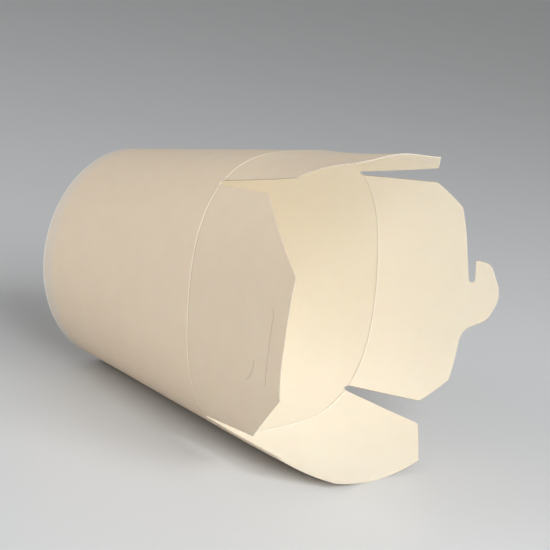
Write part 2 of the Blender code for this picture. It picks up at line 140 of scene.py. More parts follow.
class Wire:
    """A shader socket that can stand in Python arithmetic."""

    def __init__(self, bench: "NodeBench", socket: bpy.types.NodeSocket | None) -> None:
        """Wrap an output socket of a node on the given bench."""
        self.bench = bench
        self.socket = socket

    def math(self, operation: str, *values: "Wire | float") -> "Wire":
        """Add one Math node.

        Args:
            operation: Name of the Math node's operation.
            values: What its sockets take, in order.

        Returns:
            The node's result.
        """
        inputs = dict(enumerate(values))
        return self.bench.node("ShaderNodeMath", {"operation": operation}, inputs)

    def __add__(self, other: "Wire | float") -> "Wire":
        """This value plus another."""
        return self.math("ADD", self, other)

    def __radd__(self, other: float) -> "Wire":
        """A number plus this value."""
        return self.math("ADD", other, self)

    def __sub__(self, other: "Wire | float") -> "Wire":
        """This value less another."""
        return self.math("SUBTRACT", self, other)

    def __rsub__(self, other: float) -> "Wire":
        """A number less this value."""
        return self.math("SUBTRACT", other, self)

    def __mul__(self, other: "Wire | float") -> "Wire":
        """This value times another."""
        return self.math("MULTIPLY", self, other)

    def __rmul__(self, other: float) -> "Wire":
        """A number times this value."""
        return self.math("MULTIPLY", other, self)

    def __abs__(self) -> "Wire":
        """This value without its sign."""
        return self.math("ABSOLUTE", self)

    def eased(self, low: float, high: float) -> "Wire":
        """Ease from 0 where this value is low to 1 where it is high."""
        inputs = {"Value": self, "From Min": low, "From Max": high}
        return self.bench.node("ShaderNodeMapRange", {"interpolation_type": "SMOOTHSTEP"}, inputs)

    def band(self, centre: float, half_width: float) -> "Wire":
        """1 at the centre value, easing to 0 at half_width to both sides."""
        return 1.0 - abs(self - centre).eased(0.0, half_width)

    def below(self, level: float, fade: float) -> "Wire":
        """1 below the level, easing to 0 above it."""
        return 1.0 - self.eased(level - fade, level + fade)

    def swing(self, amount: float) -> "Wire":
        """Noise about 0.5 as a swing about zero."""
        return (self - 0.5) * amount


class NodeBench:
    """Builds the nodes of one material or world."""

    def __init__(self, tree: bpy.types.NodeTree) -> None:
        """Start on an emptied tree."""
        self.tree = tree
        tree.nodes.clear()

    @staticmethod
    def find(sockets: bpy.types.bpy_prop_collection, key: "str | int") -> bpy.types.NodeSocket:
        """Find a socket by place, identifier or name.

        Args:
            sockets: A node's inputs or outputs.
            key: Its place in them, its identifier or its name.

        Returns:
            The socket.
        """
        if isinstance(key, int):
            return sockets[key]
        for socket in sockets:
            if socket.identifier == key:
                return socket
        return sockets[key]

    def node(self, kind: str, settings: dict | None = None, inputs: dict | None = None,
             output: "str | int" = 0) -> Wire:
        """Add one node: its settings first, then its sockets.

        Args:
            kind: The node's type.
            settings: Its properties.
            inputs: Numbers, colours or wires for its sockets.
            output: Which output to hand back.

        Returns:
            The chosen output as a wire.
        """
        made = self.tree.nodes.new(kind)
        for name, value in (settings or {}).items():
            setattr(made, name, value)
        for key, value in (inputs or {}).items():
            socket = self.find(made.inputs, key)
            if isinstance(value, Wire):
                self.tree.links.new(value.socket, socket)
            else:
                socket.default_value = value
        return Wire(self, self.find(made.outputs, output) if made.outputs else None)

    def mix_colour(self, share: "Wire | float", first: "Wire | Colour",
                   second: "Wire | Colour") -> Wire:
        """Mix two colours.

        Args:
            share: How much of the second there is.
            first: The colour at share 0.
            second: The colour at share 1.

        Returns:
            The mixed colour.
        """
        inputs = {"Factor_Float": share, "A_Color": first, "B_Color": second}
        return self.node("ShaderNodeMix", {"data_type": "RGBA"}, inputs, "Result_Color")

    def cloud(self, place: Wire, wavelength: float, detail: float = 2.0,
              roughness: float = 0.5) -> Wire:
        """Noise about 0.5 whose blots are one wavelength across."""
        inputs = {"Vector": place, "Scale": 1.0 / wavelength, "Detail": detail,
                  "Roughness": roughness}
        return self.node("ShaderNodeTexNoise", {}, inputs)

    def blank_place(self) -> Wire:
        """Place on the flat blank."""
        return self.node("ShaderNodeUVMap", {"uv_map": BLANK_MAP})

    def scaled(self, place: Wire, factors: Triple) -> Wire:
        """Stretch a texture place by a factor on each axis."""
        return self.node("ShaderNodeVectorMath", {"operation": "MULTIPLY"},
                         {0: place, 1: factors})

    def surface(self, colour: Wire, roughness: Wire, extra: dict,
                relief: Wire | None = None) -> None:
        """Make the material's surface and send it to the output.

        Args:
            colour: Its base colour.
            roughness: Its roughness.
            extra: Numbers for its other inputs.
            relief: Its height in metres, where it isn't smooth.
        """
        inputs = {"Base Color": colour, "Roughness": roughness, **extra}
        if relief is not None:
            bump = {"Strength": 1.0, "Distance": 1.0, "Height": relief}
            inputs["Normal"] = self.node("ShaderNodeBump", {}, bump)
        shader = self.node("ShaderNodeBsdfPrincipled", {}, inputs)
        self.node("ShaderNodeOutputMaterial", {}, {"Surface": shader})


def new_bench(name: str) -> tuple[bpy.types.Material, NodeBench]:
    """Start a material.

    Args:
        name: Its name.

    Returns:
        The material and its node bench.
    """
    material = bpy.data.materials.new(name)
    material.use_nodes = True
    return material, NodeBench(material.node_tree)


@dataclass(frozen=True)
class CoatedBoard:
    """Coated face of the board: cloudy formation, fine fibres, painted highlight and painted shade
    lines at the score, and bands of painted light at the hem.
    """

    name: str
    tone: Colour
    cloudy_tone: Colour
    score_height: float
    hem_height: float
    cloud_size: float = 11.0 * MM
    cloud_share: float = 1.5
    fibre_size: float = 0.75 * MM
    fibre_stretch: float = 3.4
    fibre_share: float = 0.8
    grain_size: float = 0.30 * MM
    fleck_tone: Colour = (0.52, 0.44, 0.30, 1.0)
    fleck_size: float = 2.3 * MM
    fleck_limits: Spot = (0.80, 0.86)
    fleck_share: float = 0.3
    # Painted highlight and painted shade lines beside the score
    score_half_width: float = 0.42 * MM
    score_shift: float = 0.24 * MM
    score_highlight_tone: Colour = (0.97, 0.87, 0.71, 1.0)
    score_highlight_share: float = 0.6
    score_shade_tone: Colour = (0.46, 0.37, 0.27, 1.0)
    score_shade_share: float = 0.45
    # Hem band painted greyer: the warm light that shines through the single wall doesn't come
    # through the hem's layers
    hem_without_glow_tone: Colour | None = None
    hem_fade: float = 0.9 * MM
    hem_without_glow_share: float = 0.85
    # Painted highlight along the bottom rim, where the rolled hem catches the light
    rim_highlight_tone: Colour = (0.88, 0.83, 0.77, 1.0)
    rim_height: float = 1.2 * MM
    rim_fade: float = 0.3 * MM
    rim_highlight_share: float = 0.9
    roughness: float = 0.46
    cloud_sheen: float = 0.16
    grain_sheen: float = 0.08
    score_sheen: float = 0.08
    cloud_relief: float = 0.026 * MM
    fibre_relief: float = 0.007 * MM
    grain_relief: float = 0.003 * MM
    crinkle_height: float = 101.0 * MM
    crinkle_fade: float = 7.0 * MM
    crinkle_size: float = 1.1 * MM
    crinkle_squeeze: float = 0.4
    crinkle_relief: float = 0.0
    specular: float = 0.42
    glow: float = 0.22
    glow_depth: float = 0.9 * MM
    glow_spread: Triple = (1.0, 0.62, 0.34)

    def sheet_colour(self, bench: NodeBench, place: Wire, cloud: Wire, fibre: Wire) -> Wire:
        """Colour of the plain sheet, with its clouds, fibres and flecks.

        Args:
            bench: The material's bench.
            place: Place on the blank.
            cloud: The wide noise.
            fibre: The fine noise.

        Returns:
            The colour.
        """
        share = 0.5 + cloud.swing(self.cloud_share) + fibre.swing(self.fibre_share)
        colour = bench.mix_colour(share, self.tone, self.cloudy_tone)
        fleck = bench.cloud(place, self.fleck_size, detail=1.0).eased(*self.fleck_limits)
        return bench.mix_colour(fleck * self.fleck_share, colour, self.fleck_tone)

    def banded_colour(self, bench: NodeBench, height: Wire, score: Wire, colour: Wire) -> Wire:
        """Lay the score's painted highlight and painted shade lines, and the hem's bands of
        painted light, over a colour.

        Args:
            bench: The material's bench.
            height: Height on the blank above the base.
            score: Where the score's painted highlight line lies.
            colour: The sheet's colour.

        Returns:
            The colour with its bands.
        """
        # Painted shade on one side of the score and a painted highlight on the other, as the
        # pressed groove would catch the light
        shade = height.band(self.score_height + self.score_shift, self.score_half_width)
        colour = bench.mix_colour(shade * self.score_shade_share, colour, self.score_shade_tone)
        colour = bench.mix_colour(score * self.score_highlight_share, colour, self.score_highlight_tone)
        if self.hem_without_glow_tone is None:
            return colour
        # Painted band at the hem, greyer as no light shines through its layers
        hem = height.below(self.hem_height, self.hem_fade)
        colour = bench.mix_colour(hem * self.hem_without_glow_share, colour, self.hem_without_glow_tone)
        # Painted highlight along the bottom rim
        rim = height.below(self.rim_height, self.rim_fade)
        return bench.mix_colour(rim * self.rim_highlight_share, colour, self.rim_highlight_tone)

    def make(self) -> bpy.types.Material:
        """Build the material.

        Returns:
            The finished material.
        """
        material, bench = new_bench(self.name)
        place = bench.blank_place()
        height = bench.node("ShaderNodeSeparateXYZ", {}, {0: place}, "Y")
        cloud = bench.cloud(place, self.cloud_size, detail=4.0, roughness=0.55)
        along_grain = bench.scaled(place, (1.0 / self.fibre_stretch, 1.0, 1.0))
        fibre = bench.cloud(along_grain, self.fibre_size, roughness=0.6)
        grain = bench.cloud(place, self.grain_size, detail=1.0)
        # Where the painted highlight line along the score lies
        score = height.band(self.score_height - self.score_shift, self.score_half_width)

        colour = self.sheet_colour(bench, place, cloud, fibre)
        colour = self.banded_colour(bench, height, score, colour)
        roughness = self.roughness + cloud.swing(self.cloud_sheen) + grain.swing(self.grain_sheen)
        relief = cloud * self.cloud_relief + fibre * self.fibre_relief + grain * self.grain_relief
        if self.crinkle_relief > 0.0:
            across = bench.scaled(place, (1.0, self.crinkle_squeeze, 1.0))
            crinkle = bench.cloud(across, self.crinkle_size)
            near = height.band(self.crinkle_height, self.crinkle_fade)
            relief = relief + crinkle * near * self.crinkle_relief
        extra = {"Specular IOR Level": self.specular, "Subsurface Weight": self.glow,
                 "Subsurface Radius": self.glow_spread, "Subsurface Scale": self.glow_depth}
        bench.surface(colour, roughness + score * self.score_sheen, extra, relief)
        return material


@dataclass(frozen=True)
class CutBoard:
    """Raw cut edge of the board, with its fibres and plies."""

    name: str = "cut_board_edge"
    tone: Colour = (0.52, 0.465, 0.385, 1.0)
    fibre_tone: Colour = (0.47, 0.415, 0.335, 1.0)
    fibre_size: float = 0.5 * MM
    fibre_share: float = 0.7
    ply: float = 0.12 * MM
    ply_share: float = 0.3
    fibre_relief: float = 0.03 * MM
    ply_relief: float = 0.012 * MM
    roughness: float = 0.85
    fibre_sheen: float = 0.1
    specular: float = 0.2

    def make(self) -> bpy.types.Material:
        """Build the material.

        Returns:
            The finished material.
        """
        material, bench = new_bench(self.name)
        place = bench.blank_place()
        fibre = bench.cloud(place, self.fibre_size, detail=3.0, roughness=0.65)
        plies = bench.cloud(place, self.ply, detail=1.0)
        share = fibre * self.fibre_share + plies * self.ply_share
        bench.surface(bench.mix_colour(share, self.tone, self.fibre_tone),
                      self.roughness + fibre.swing(self.fibre_sheen),
                      {"Specular IOR Level": self.specular},
                      fibre * self.fibre_relief + plies * self.ply_relief)
        return material


@dataclass(frozen=True)
class PaleFloor:
    """Smooth pale table top."""

    name: str = "pale_floor"
    tone: Colour = (0.66, 0.67, 0.68, 1.0)
    cloudy_tone: Colour = (0.63, 0.64, 0.65, 1.0)
    cloud_size: float = 0.12
    roughness: float = 0.38
    cloud_sheen: float = 0.06
    specular: float = 0.4

    def make(self) -> bpy.types.Material:
        """Build the material.

        Returns:
            The finished material.
        """
        material, bench = new_bench(self.name)
        place = bench.node("ShaderNodeNewGeometry", {}, {}, "Position")
        cloud = bench.cloud(place, self.cloud_size, detail=3.0)
        bench.surface(bench.mix_colour(cloud, self.tone, self.cloudy_tone),
                      self.roughness + cloud.swing(self.cloud_sheen),
                      {"Specular IOR Level": self.specular})
        return material


@dataclass(frozen=True)
class TubForm:
    """Loft from the round base to the squared mouth, and the sizes that the pieces share."""

    base_radius: float = 45.0 * MM
    mouth_corner_radius: float = 60.9 * MM
    mouth_side_radius: float = 55.4 * MM
    wall_height: float = 94.9 * MM
    board: float = 0.4 * MM
    cut_bevel: float = 0.06 * MM
    clearance: float = 0.3 * MM
    disc_height: float = 8.0 * MM
    disc_bend: float = 0.9 * MM
    hem_height: float = 6.4 * MM
    notch_radius: float = 1.25 * MM
    notch_shift: float = math.radians(2.6)
    score_seam: float = 0.02 * MM
    score_width: float = 0.24 * MM
    score_fade: Spot = (1.1, 3.0)
    groove_depth: float = 0.20 * MM
    bead_height: float = 0.12 * MM
    ripple: float = 0.11 * MM
    ripple_waves: float = 2.3
    fine_ripple: float = 0.035 * MM
    fine_ripple_waves: float = 6.5
    ripple_from: float = 12.0 * MM
    ripple_full: float = 40.0 * MM

    @property
    def mean_radius(self) -> float:
        """Mean radius of the mouth at the scores."""
        return (self.mouth_corner_radius + self.mouth_side_radius) / 2.0

    @property
    def mouth_squareness(self) -> float:
        """How far the mouth's corners stand out of its mean circle."""
        return (self.mouth_corner_radius - self.mouth_side_radius) / 2.0

    @property
    def lean(self) -> float:
        """Mean lean of the wall away from the tub's axis."""
        return math.atan2(self.mean_radius - self.base_radius, self.wall_height)

    @property
    def notches(self) -> tuple[float, ...]:
        """Angles of the four notches."""
        shift = self.notch_shift
        return (shift, TURN / 4.0 - shift, TURN / 2.0 + shift, TURN * 0.75 - shift)

    def squareness(self, angle: float) -> float:
        """1 at the mouth's corners, -1 between them."""
        return math.cos(4.0 * (angle - self.notch_shift * math.cos(2.0 * angle)))

    def radius(self, angle: float, height: float) -> float:
        """Outer radius of the wall at an angle and height."""
        mouth = self.mean_radius + self.mouth_squareness * self.squareness(angle)
        return self.base_radius + (mouth - self.base_radius) * height / self.wall_height

    def waviness(self, angle: float, height: float) -> float:
        """How far the sheet bows out or in, since board is never quite even.

        Args:
            angle: Angle round the tub's axis.
            height: Height above the base rim.

        Returns:
            The distance outwards.
        """
        spot = Vector((math.cos(angle), math.sin(angle), height / self.mean_radius))
        held = smooth_step(self.ripple_from, self.ripple_full, height)
        return held * (self.ripple * noise.noise(spot * self.ripple_waves)
                       + self.fine_ripple * noise.noise(spot * self.fine_ripple_waves))

    def pressed_share(self, distance: float, from_notch: float) -> float:
        """How deep the score is pressed at a place, from 0 to 1.

        Args:
            distance: Distance to the middle of the score.
            from_notch: Distance along the score to the middle of the notch.

        Returns:
            A share of the full depth.
        """
        fade_from, fade_full = (self.notch_radius * share for share in self.score_fade)
        fade = smooth_step(fade_from, fade_full, from_notch)
        return fade * math.exp(-((distance / self.score_width) ** 2))

    def polar(self, angle: float, radius: float, height: float) -> Vector:
        """Point in the tub's own frame."""
        return Vector((radius * math.cos(angle), radius * math.sin(angle), height))


class TubPlace:
    """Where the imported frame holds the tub."""

    def __init__(self, record: dict, disc_top: float) -> None:
        """Work out the tub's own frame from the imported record.

        Args:
            record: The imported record.
            disc_top: Height of the bottom disc's top face above the base rim.
        """
        floor = next(m for m in record["mounts"] if m["name"] == "inner_floor")
        hinge = next(j for j in record["behaviour"]["joints"] if j["name"] == "dust_lower_score")
        axis = Vector(floor["axis"]).normalized()
        origin = Vector(floor["pos_m"]) - axis * disc_top
        towards = Vector(hinge["pos_m"]) - origin
        radial = (towards - axis * towards.dot(axis)).normalized()
        side = axis.cross(radial)
        eighth = TURN / 8.0
        local_x = radial * math.cos(eighth) - side * math.sin(eighth)
        local_y = radial * math.sin(eighth) + side * math.cos(eighth)
        turn = Matrix((local_x, local_y, axis)).transposed()
        self.matrix = Matrix.Translation(origin) @ turn.to_4x4()


class Skin:
    """Points and faces of one piece, with each corner's spot on the flat blank."""

    def __init__(self, name: str) -> None:
        """Start an empty skin.

        Args:
            name: The piece's name.
        """
        self.name = name
        self.points: list[Vector] = []
        self.faces: list[tuple[int, ...]] = []
        self.kinds: list[BoardFace] = []
        self.spots: list[Spot] = []

    def point(self, place: Vector) -> int:
        """Add a point in the tub's own frame and return its number."""
        self.points.append(place)
        return len(self.points) - 1

    def face(self, corners: list[int], kind: BoardFace, spots: list[Spot]) -> None:
        """Add a face.

        Args:
            corners: Numbers of its points.
            kind: The face of the board that it shows.
            spots: Its corners' spots on the blank.
        """
        self.faces.append(tuple(corners))
        self.kinds.append(kind)
        self.spots.extend(spots)

    def make(self, place: TubPlace, finishes: Finishes,
             sharp: float = math.radians(33.0)) -> bpy.types.Object:
        """Make the object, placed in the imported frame.

        Args:
            place: Where the tub lies.
            finishes: The material of each kind of face.
            sharp: Angle above which an edge is shaded sharp.

        Returns:
            The new object.
        """
        mesh = bpy.data.meshes.new(self.name)
        mesh.from_pydata([tuple(place.matrix @ p) for p in self.points], [], self.faces)
        for kind in BoardFace:
            mesh.materials.append(finishes[kind])
        mesh.polygons.foreach_set("material_index", [k.value for k in self.kinds])
        layer = mesh.uv_layers.new(name=BLANK_MAP)
        layer.uv.foreach_set("vector", [x for spot in self.spots for x in spot])
        builder = bmesh.new()
        builder.from_mesh(mesh)
        bmesh.ops.recalc_face_normals(builder, faces=builder.faces)
        builder.to_mesh(mesh)
        builder.free()
        mesh.shade_smooth()
        mesh.set_sharp_from_angle(angle=sharp)
        return add_object(self.name, mesh)


class Follow(Enum):
    """Which face of the lapped wall an inset is measured from."""

    OUTSIDE = "outside"
    INSIDE = "inside"
    FORM = "form"


@dataclass(frozen=True)
class ProfilePoint:
    """One point of the wall's section: a height, an inset and what it follows."""

    height: float
    inset: float
    follow: Follow
    kind: BoardFace


@dataclass(frozen=True)
class WallColumn:
    """One upright line of the wall. The two faces of a lap edge share an angle."""

    angle: float
    edge_side: int = 1


@dataclass
class SideWall:
    """Wrapped wall with its lapped seam and the hem rolled in at the foot."""

    form: TubForm
    columns_per_side: int = 56
    notch_steps: int = 6
    notch_room: float = 1.2
    lap_width: float = 9.0 * MM
    lap_ease: float = 7.0 * MM
    lap_hair: float = 0.0006
    lap_room: float = 0.004
    roll_radius: float = 0.45 * MM
    roll_steps: int = 5
    foot: float = 3.2 * MM
    hem_ease: float = 1.2 * MM
    hem_rows: tuple[float, ...] = (1.0, 0.5, 0.0, -0.5, -1.0)
    hem_swell: float = 0.05 * MM
    body_rows: int = 24
    score_rows: tuple[float, ...] = millimetres(0.0, 0.1, 0.2, 0.32, 0.46, 0.64, 0.9, 1.3,
                                                2.0, 3.0)
    columns: list[WallColumn] = field(default_factory=list)

    @property
    def lap_inner_edge(self) -> float:
        """Angle of the inner layer's edge, at a notch."""
        return self.form.notches[1]

    @property
    def lap_outer_edge(self) -> float:
        """Angle of the outer layer's edge."""
        return self.lap_inner_edge - self.lap_width / self.form.mean_radius

    @property
    def lap_eased(self) -> float:
        """Angle past which the wall is single again."""
        return self.lap_outer_edge - self.lap_ease / self.form.mean_radius

    @property
    def hem_width(self) -> float:
        """Depth of the rolled hem, from the wall's outside to the leg's inside."""
        return 4.0 * self.form.board + 2.0 * self.form.clearance

    @property
    def top(self) -> float:
        """Height of the wall's top edge."""
        return self.form.wall_height - self.form.score_seam / 2.0

    @property
    def below_score(self) -> float:
        """Height of the lowest row that the score and the notches bend."""
        return self.form.wall_height - self.score_rows[-1]

    def layer_shift(self, column: WallColumn) -> float:
        """Inset of the inner layer, easing from the lap back to the single wall.

        Args:
            column: Column of the wall.

        Returns:
            The inset of its outside face.
        """
        angle = column.angle
        at_edge = angle == self.lap_outer_edge and column.edge_side < 0
        if self.lap_eased < angle < self.lap_outer_edge or at_edge:
            return self.form.board * smooth_step(self.lap_eased, self.lap_outer_edge, angle)
        return 0.0

    def inner_inset(self, column: WallColumn) -> float:
        """Inset of the wall's inside face, two boards deep within the lap.

        Args:
            column: Column of the wall.

        Returns:
            The inset from the wall's outside.
        """
        angle = column.angle
        in_lap = self.lap_outer_edge <= angle < self.lap_inner_edge
        at_edge = angle == self.lap_inner_edge and column.edge_side < 0
        if in_lap or at_edge:
            return 2.0 * self.form.board
        return self.form.board + self.layer_shift(column)

    def make_columns(self) -> None:
        """Spread the columns round, closer at the notches and the lap."""
        form = self.form
        reach = form.notch_radius / form.mouth_corner_radius
        special = (self.lap_inner_edge, self.lap_outer_edge, self.lap_eased)
        angles = []
        for number, corner in enumerate(form.notches):
            span = (form.notches[(number + 1) % 4] - corner) % TURN
            steps = range(1, self.columns_per_side)
            angles += [(corner + i * span / self.columns_per_side) % TURN for i in steps]
        angles = [a for a in angles
                  if min(abs(a - n) for n in form.notches) > self.notch_room * reach]
        for corner in form.notches:
            for i in range(-self.notch_steps, self.notch_steps + 1):
                angles.append(corner + reach * math.sin(i * TURN / 4.0 / self.notch_steps))
        kept = [a for a in sorted(angles) if all(abs(a - s) > self.lap_room for s in special)]
        columns = [WallColumn(a) for a in kept] + [WallColumn(self.lap_eased)]
        for edge in (self.lap_inner_edge, self.lap_outer_edge):
            columns += [WallColumn(edge, -1), WallColumn(edge, 1)]
        self.columns = sorted(columns, key=lambda c: (c.angle, c.edge_side))

    def profile(self) -> list[ProfilePoint]:
        """Section of the wall, from the mouth down the outside and back up the inside.

        Returns:
            The points, each with the kind of the strip that follows it.
        """
        form = self.form
        low = self.below_score
        heights = [self.top - row for row in self.score_rows]
        heights += [low + (self.foot - low) * i / self.body_rows for i in range(1, self.body_rows)]
        heights += [form.hem_height + self.hem_ease * row for row in self.hem_rows]
        heights = sorted(set(heights), reverse=True)
        heights.append(self.foot)
        roll = quarter_arc(self.roll_radius, self.roll_steps)
        board = form.board
        bevel = form.cut_bevel
        width = self.hem_width
        leg_top = form.disc_height - form.clearance - form.disc_bend

        points = [ProfilePoint(h, 0.0, Follow.OUTSIDE, BoardFace.OUTSIDE) for h in heights]
        points += [ProfilePoint(h, inset, Follow.OUTSIDE, BoardFace.OUTSIDE) for inset, h in roll]
        points += [ProfilePoint(h, width - inset, Follow.FORM, BoardFace.OUTSIDE)
                   for inset, h in reversed(roll)]
        points += [
            ProfilePoint(leg_top / 2.0, width, Follow.FORM, BoardFace.OUTSIDE),
            ProfilePoint(leg_top - bevel, width, Follow.FORM, BoardFace.CUT),
            ProfilePoint(leg_top, width - bevel, Follow.FORM, BoardFace.CUT),
            ProfilePoint(leg_top, width - board + bevel, Follow.FORM, BoardFace.CUT),
            ProfilePoint(leg_top - bevel, width - board, Follow.FORM, BoardFace.INSIDE),
            ProfilePoint(board, width - board, Follow.FORM, BoardFace.INSIDE),
            ProfilePoint(board, 0.0, Follow.INSIDE, BoardFace.INSIDE),
        ]
        points += [ProfilePoint(h, 0.0, Follow.INSIDE, BoardFace.INSIDE)
                   for h in reversed(heights)]
        points[-1] = ProfilePoint(self.top, 0.0, Follow.INSIDE, BoardFace.CUT)
        return points

    def notch_dip(self, from_notch: float) -> float:
        """How far the wall's top edge dips at the rounded root of a notch."""
        squared = self.form.notch_radius ** 2 - from_notch ** 2
        return math.sqrt(squared) if squared > 0.0 else 0.0

    def place_point(self, spot: ProfilePoint, column: WallColumn) -> Vector:
        """Put one point of the section at one column.

        Args:
            spot: Point of the section.
            column: Column of the wall.

        Returns:
            The point in the tub's own frame.
        """
        form = self.form
        angle = column.angle
        if angle in (self.lap_inner_edge, self.lap_outer_edge):
            angle += column.edge_side * self.lap_hair
        nearest = min(abs(column.angle - notch) for notch in form.notches)
        from_notch = nearest * form.mouth_corner_radius
        top = self.top
        low = self.below_score
        height = spot.height
        if height > low:
            height = low + (height - low) * (top - self.notch_dip(from_notch) - low) / (top - low)
        pressed = form.pressed_share(top - spot.height, from_notch)
        inset = spot.inset
        if spot.follow is Follow.OUTSIDE:
            above = smooth_step(form.hem_height - self.hem_ease, form.hem_height + self.hem_ease,
                                spot.height)
            swell = self.hem_swell * (1.0 - above)
            inset += self.layer_shift(column) + form.groove_depth * pressed - swell
        elif spot.follow is Follow.INSIDE:
            inset += self.inner_inset(column) + form.bead_height * pressed
        radius = form.radius(angle, height) + form.waviness(angle, height) - inset
        return form.polar(angle, radius, height)

    def blank_across(self, number: int, kind: BoardFace) -> Spot:
        """Places across the blank of a column and the next, cut at the seam.

        Args:
            number: The column's number.
            kind: The face of the board.

        Returns:
            The two places.
        """
        seam = self.lap_outer_edge if kind is BoardFace.OUTSIDE else self.lap_inner_edge
        first = self.columns[number]
        second = self.columns[(number + 1) % len(self.columns)]
        start = first.angle if (first.angle, first.edge_side) > (seam, 0) else first.angle + TURN
        step = (second.angle - first.angle) % TURN
        radius = self.form.mean_radius
        side = INSIDE_SHEET if kind is BoardFace.INSIDE else 0.0
        return side + start * radius, side + (start + step) * radius

    def build(self, place: TubPlace, finishes: Finishes) -> None:
        """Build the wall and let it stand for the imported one.

        Args:
            place: Where the tub lies.
            finishes: The material of each kind of face.
        """
        self.make_columns()
        points = self.profile()
        skin = Skin("wall_skin")
        grid = [[skin.point(self.place_point(p, c)) for c in self.columns] for p in points]
        count = len(self.columns)
        step_at = {Follow.OUTSIDE: self.lap_outer_edge, Follow.INSIDE: self.lap_inner_edge}
        for row, spot in enumerate(points):
            after = (row + 1) % len(points)
            for number, first in enumerate(self.columns):
                beside = (number + 1) % count
                is_step = first.edge_side < 0 and first.angle == step_at.get(spot.follow)
                kind = BoardFace.CUT if is_step else spot.kind
                left, right = self.blank_across(number, spot.kind)
                upper, lower = spot.height, points[after].height
                skin.face([grid[row][number], grid[row][beside],
                           grid[after][beside], grid[after][number]], kind,
                          [(left, upper), (right, upper), (right, lower), (left, lower)])
        obj = skin.make(place, finishes)
        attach(obj, "tub")
        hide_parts("side_wall")
        LOG.info("%s: %d faces, on tub", obj.name, len(obj.data.polygons))


@dataclass
class BottomDisc:
    """Round bottom, dished a little, with a skirt turned down inside the hem."""

    form: TubForm
    bend_steps: int = 5
    dish: float = 0.18 * MM
    dish_ease: float = 0.3
    count: int = 192
    rings: int = 14

    def profile(self) -> list[tuple[float, float, BoardFace]]:
        """Section from the skirt's foot over the top and back underneath.

        Returns:
            Inset from the form, height and kind of each point. A negative inset is
            a share of the way to the centre.
        """
        form = self.form
        board = form.board
        outer = 2.0 * board + form.clearance
        foot = board + form.clearance
        underside = form.disc_height
        top = underside + board
        shares = [-i / self.rings for i in range(1, self.rings + 1)]
        over = quarter_arc(form.disc_bend, self.bend_steps)
        under = quarter_arc(form.disc_bend - board, self.bend_steps)
        points = [(outer, foot, BoardFace.INSIDE)]
        points += [(outer + inset, top - drop, BoardFace.INSIDE) for inset, drop in over]
        points += [(share, top, BoardFace.INSIDE) for share in shares]
        points += [(share, underside, BoardFace.OUTSIDE) for share in reversed(shares)]
        points += [(outer + board + inset, underside - drop, BoardFace.OUTSIDE)
                   for inset, drop in reversed(under)]
        points.append((outer + board, foot, BoardFace.CUT))
        return points

    def ring_point(self, inset: float, height: float, angle: float) -> Vector:
        """One point of the disc.

        Args:
            inset: Inset from the form, or a negative share of the way to the centre.
            height: Height above the base rim.
            angle: Angle round the tub's axis.

        Returns:
            The point in the tub's own frame.
        """
        form = self.form
        if inset >= 0.0:
            return form.polar(angle, form.radius(angle, height) - inset, height)
        rim = form.radius(angle, form.disc_height) - 2.0 * form.board
        rim -= form.clearance + form.disc_bend
        share = -inset
        sag = self.dish * (1.0 - (1.0 - share) ** 2) * smooth_step(0.0, self.dish_ease, share)
        return form.polar(angle, rim * (1.0 - share), height - sag)

    def build(self, place: TubPlace, finishes: Finishes) -> None:
        """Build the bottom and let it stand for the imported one.

        Args:
            place: Where the tub lies.
            finishes: The material of each kind of face.
        """
        skin = Skin("bottom_skin")
        profile = self.profile()
        angles = [TURN * i / self.count for i in range(self.count)]
        rows = []
        for inset, height, _ in profile:
            if inset == -1.0:
                rows.append([skin.point(self.ring_point(inset, height, 0.0))] * self.count)
            else:
                rows.append([skin.point(self.ring_point(inset, height, a)) for a in angles])
        across, along = DISC_SHEET
        for row, (_, _, kind) in enumerate(profile):
            after = (row + 1) % len(profile)
            for i in range(self.count):
                j = (i + 1) % self.count
                ring = [rows[row][i], rows[row][j], rows[after][j], rows[after][i]]
                corners = list(dict.fromkeys(ring))
                if len(corners) < 3:
                    continue
                drawn = [skin.points[c] for c in corners]
                skin.face(corners, kind, [(across + p.x, along + p.y + p.z) for p in drawn])
        obj = skin.make(place, finishes)
        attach(obj, "tub")
        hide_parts("bottom_disc")
        LOG.info("%s: %d faces, on tub", obj.name, len(obj.data.polygons))


def rounded(corners: list[Corner], step: float = math.radians(9.0),
            straight: float = math.radians(176.0), side_share: float = 0.49) -> Path:
    """Replace each corner of an outline with an arc.

    Args:
        corners: Place across, place along and radius of each corner.
        step: Largest turn between two points of an arc.
        straight: Opening above which a corner stays a single point.
        side_share: Largest share of a side that an arc may take.

    Returns:
        The outline's points.
    """
    path = []
    for i, (*place, radius) in enumerate(corners):
        before = Vector(corners[i - 1][:2])
        corner = Vector(place)
        after = Vector(corners[(i + 1) % len(corners)][:2])
        back = (before - corner).normalized()
        ahead = (after - corner).normalized()
        opening = back.angle(ahead)
        if radius <= 0.0 or opening > straight:
            path.append(corner)
            continue
        shorter = min((before - corner).length, (after - corner).length)
        reach = min(radius / math.tan(opening / 2.0), side_share * shorter)
        radius = reach * math.tan(opening / 2.0)
        centre = corner + (back + ahead).normalized() * radius / math.sin(opening / 2.0)
        start = corner + back * reach - centre
        sweep = start.angle_signed(corner + ahead * reach - centre)
        steps = max(1, math.ceil(abs(sweep) / step))
        for k in range(steps + 1):
            path.append(centre + Matrix.Rotation(-sweep * k / steps, 2) @ start)
    return path


def subdivided(path: Path, step: float) -> Path:
    """Split the long stretches of a closed path.

    Args:
        path: The path.
        step: Longest stretch to leave whole.

    Returns:
        The path with more points.
    """
    result = []
    for point, after in zip(path, path[1:] + path[:1]):
        parts = max(1, math.ceil((after - point).length / step))
        result += [point.lerp(after, k / parts) for k in range(parts)]
    return result


